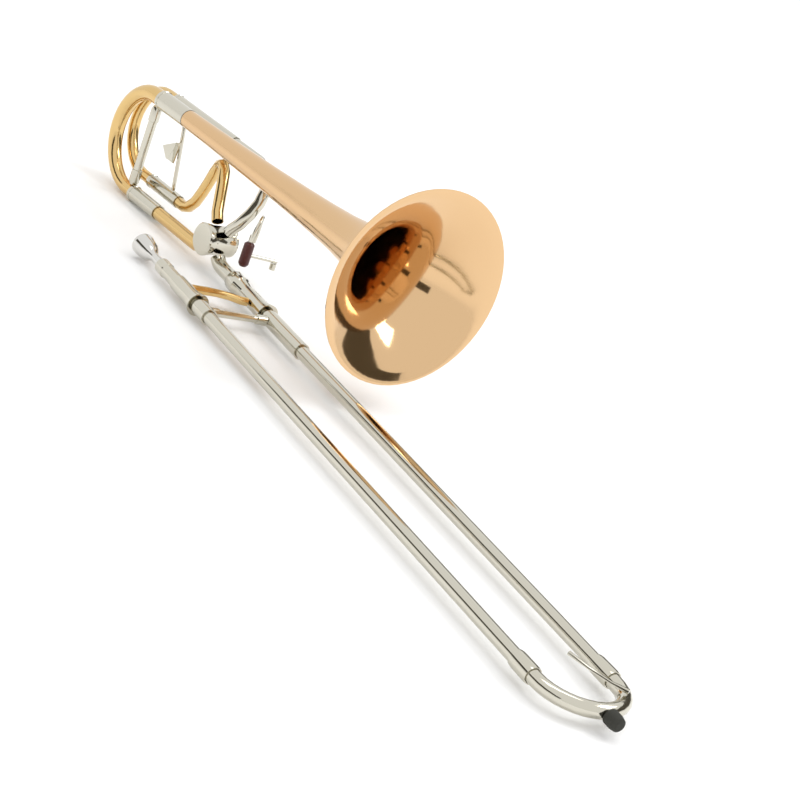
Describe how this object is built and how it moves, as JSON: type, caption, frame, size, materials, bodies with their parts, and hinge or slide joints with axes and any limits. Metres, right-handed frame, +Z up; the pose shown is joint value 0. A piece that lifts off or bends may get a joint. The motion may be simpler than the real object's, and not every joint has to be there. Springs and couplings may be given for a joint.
{
  "type": "tenor trombone with F attachment",
  "caption": "Tenor trombone with an F attachment, slide closed, lying flat on its hand slide.",
  "frame": {"origin": "middle of the footprint, at floor level", "axes": "+X towards the slide bow, +Z up"},
  "size_m": [1.193, 0.2432, 0.2511],
  "materials": {
    "brass": "lacquered yellow brass",
    "gold": "lacquered gold brass",
    "nickel": "polished nickel silver",
    "silver": "polished silver plate",
    "paddle": "dark red-brown gloss",
    "rubber": "black rubber"
  },
  "bodies": {
    "bell_section": {"bell": "gold", "bell_lock_nut": "nickel", "brace_plate": "nickel", "cork_barrel_left": "nickel", "cork_barrel_right": "nickel", "f_bend": "brass", "f_return": "nickel", "f_sleeve_lower": "nickel", "f_sleeve_upper": "nickel", "front_brace": "nickel", "inner_brace": "brass", "inner_tube_left": "nickel", "inner_tube_right": "nickel", "lever_post": "nickel", "lower_leg": "brass", "neckpipe": "nickel", "receiver": "nickel", "rest_knob": "nickel", "rest_rod": "nickel", "tuning_sleeve_lower": "nickel", "tuning_sleeve_upper": "nickel", "valve_cap": "nickel", "valve_casing": "nickel"},
    "hand_slide": {"outer_tube_left": "nickel", "outer_tube_right": "nickel", "brace_sleeve_left": "nickel", "brace_sleeve_right": "nickel", "bow_ferrule_left": "nickel", "bow_ferrule_right": "nickel", "slide_bow": "nickel", "bumper": "rubber", "outer_brace": "nickel"},
    "water_key": {"water_key": "nickel"},
    "tuning_slide": {"tuning_bow": "brass", "bow_brace": "nickel"},
    "f_slide": {"f_bow": "brass"},
    "rotor_body": {"rotor": "brass", "stop_arm": "nickel"},
    "trigger": {"trigger_lever": "nickel", "trigger_paddle": "paddle"},
    "mouthpiece_body": {"mouthpiece": "silver"}
  },
  "joints": [
    {"name": "hand_slide_travel", "type": "slide", "parent": "bell_section", "child": "hand_slide", "axis": [1, 0, 0], "range_m": [0, 0.6]},
    {"name": "water_key_hinge", "type": "hinge", "parent": "hand_slide", "child": "water_key", "pos_m": [0.52447, -0.05384, 0.02626], "axis": [0.4, -0.9165, 0], "range_deg": [0, 12], "stiffness_Nm_per_rad": 0.05},
    {"name": "tuning_slide_travel", "type": "slide", "parent": "bell_section", "child": "tuning_slide", "axis": [-0.9937, -0.1079, -0.0302], "range_m": [0, 0.03]},
    {"name": "f_slide_travel", "type": "slide", "parent": "bell_section", "child": "f_slide", "axis": [-0.9937, -0.1079, -0.0302], "range_m": [0, 0.02]},
    {"name": "trigger_hinge", "type": "hinge", "parent": "bell_section", "child": "trigger", "pos_m": [-0.30842, 0.00581, 0.05026], "axis": [-0.03, -0.0033, 0.9995], "range_deg": [0, 15], "stiffness_Nm_per_rad": 0.1},
    {"name": "rotor_spin", "type": "hinge", "parent": "bell_section", "child": "rotor_body", "pos_m": [-0.32904, -0.02258, 0.03554], "axis": [-0.108, 0.9942, 0], "range_deg": [0, 78]},
    {"name": "mouthpiece_pull", "type": "slide", "parent": "bell_section", "child": "mouthpiece_body", "axis": [-1, 0, 0], "range_m": [0, 0.03]}
  ],
  "couplings": [
    {"joint": "rotor_spin", "follows": "trigger_hinge", "ratio": 5.2}
  ]
}
